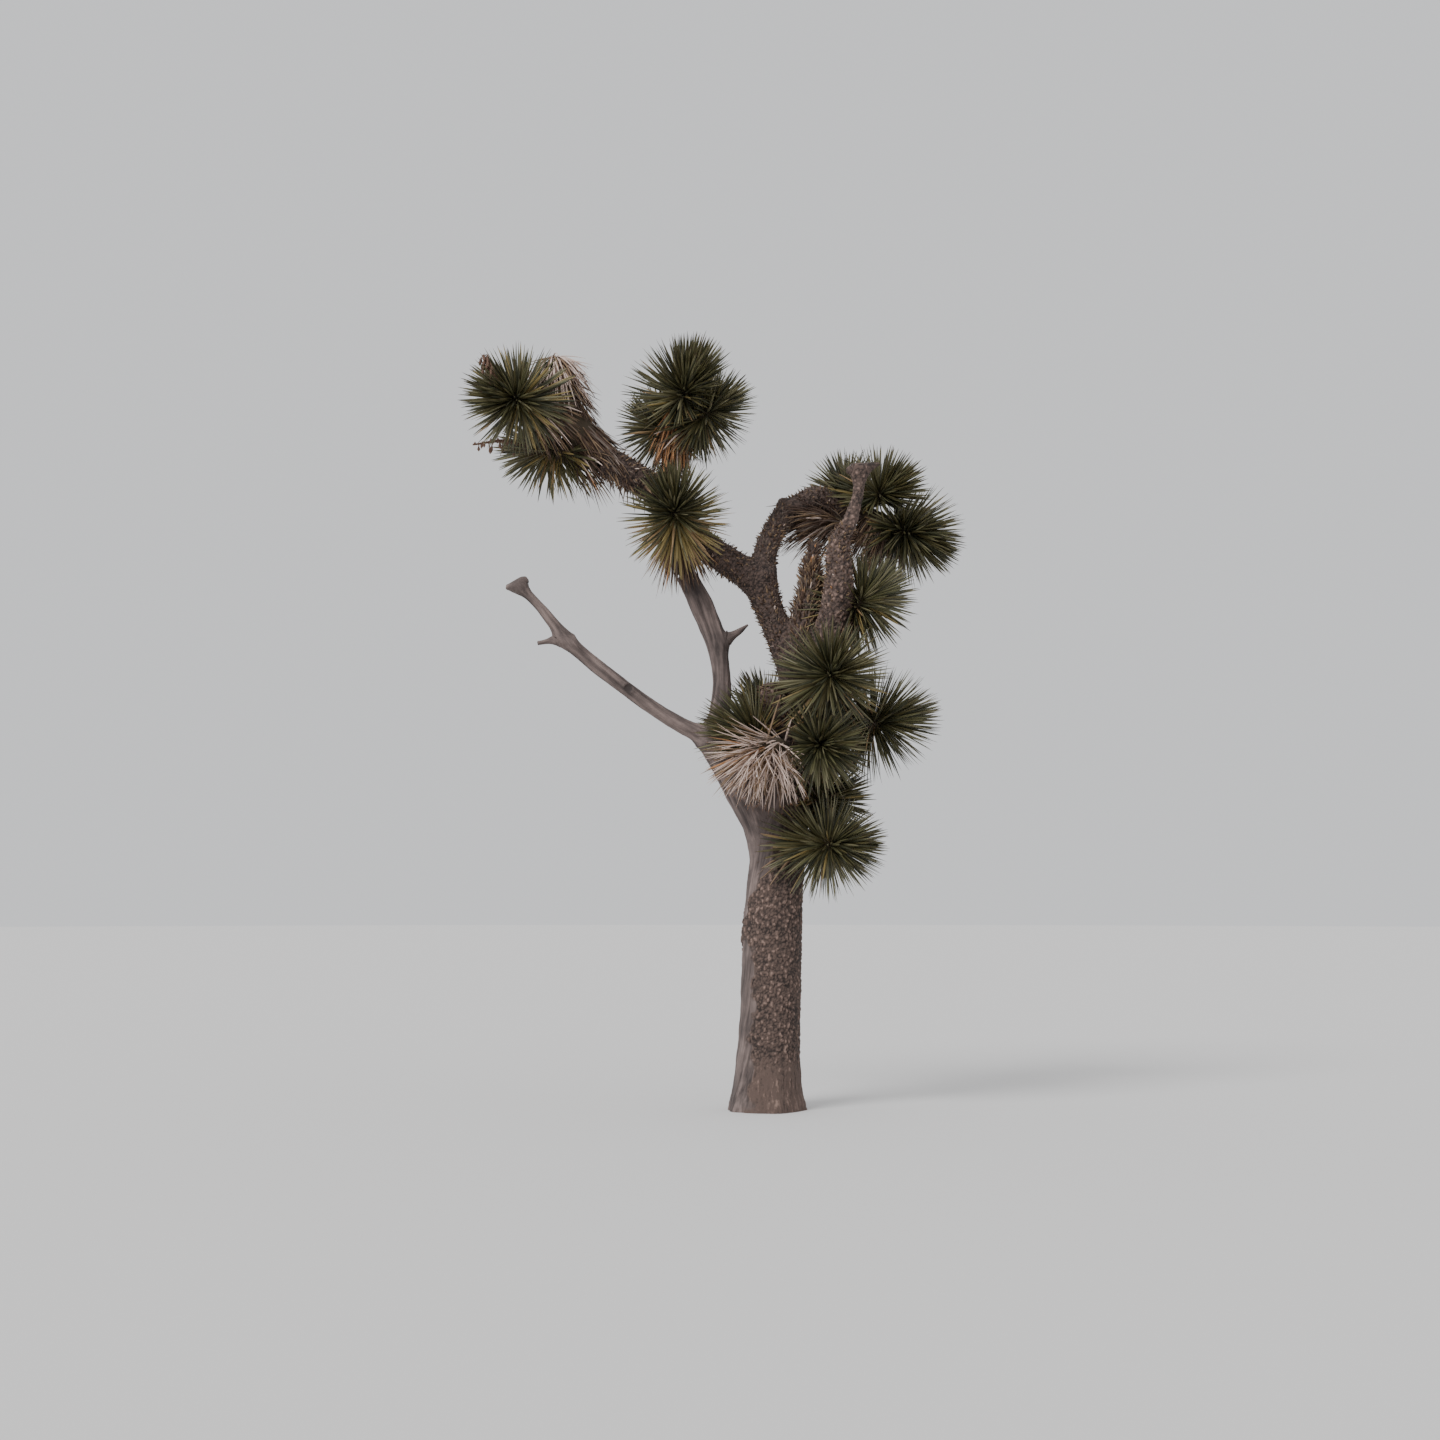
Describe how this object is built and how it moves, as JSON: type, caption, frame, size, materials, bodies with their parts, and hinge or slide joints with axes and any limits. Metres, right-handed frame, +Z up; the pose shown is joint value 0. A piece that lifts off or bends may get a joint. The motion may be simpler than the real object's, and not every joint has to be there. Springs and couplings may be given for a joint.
{
  "type": "joshua tree",
  "caption": "Branching desert yucca with one stout trunk, bare weathered boughs on one side and living limbs tipped with round heads of stiff dagger leaves on the other.",
  "frame": {"origin": "middle of the trunk's foot, on the flat cut at ground level", "axes": "+Z up, +X to the right and +Y away from the viewer, as the tree is first seen"},
  "size_m": [3.454, 1.9933, 5.2027],
  "materials": {
    "bark": "rough grey-brown bark of small raised plates and old leaf scars",
    "bare_wood": "weathered grey wood with long grain, no bark left",
    "green_leaf": "stiff dull green dagger leaves with pale bases and brown tips",
    "dead_leaf": "dry straw-coloured leaves folded back along the stem"
  },
  "bodies": {
    "root": {"trunk": "bark", "bare_bough": "bare_wood", "bare_bough_stub": "bare_wood", "grey_bough": "bare_wood", "grey_bough_stub": "bare_wood", "leader": "bark", "left_bough": "bark", "arch_rise": "bark", "arch_crown": "bark", "broken_limb": "bark", "shaggy_limb": "bark", "stump": "bark", "left_thatch": "dead_leaf", "left_front_head": "green_leaf", "left_low_head": "green_leaf", "top_head": "green_leaf", "top_right_head": "green_leaf", "top_left_head": "green_leaf", "top_back_head": "green_leaf", "hanging_head": "green_leaf", "arch_thatch": "dead_leaf", "arch_top_head": "green_leaf", "arch_right_head": "green_leaf", "arch_back_head": "green_leaf", "right_high_head": "green_leaf", "front_head": "green_leaf", "right_head": "green_leaf", "centre_head": "green_leaf", "left_head": "green_leaf", "straw_skirt": "dead_leaf", "behind_head": "green_leaf", "far_head": "green_leaf", "low_right_head": "green_leaf", "low_head": "green_leaf"}
  },
  "joints": []
}
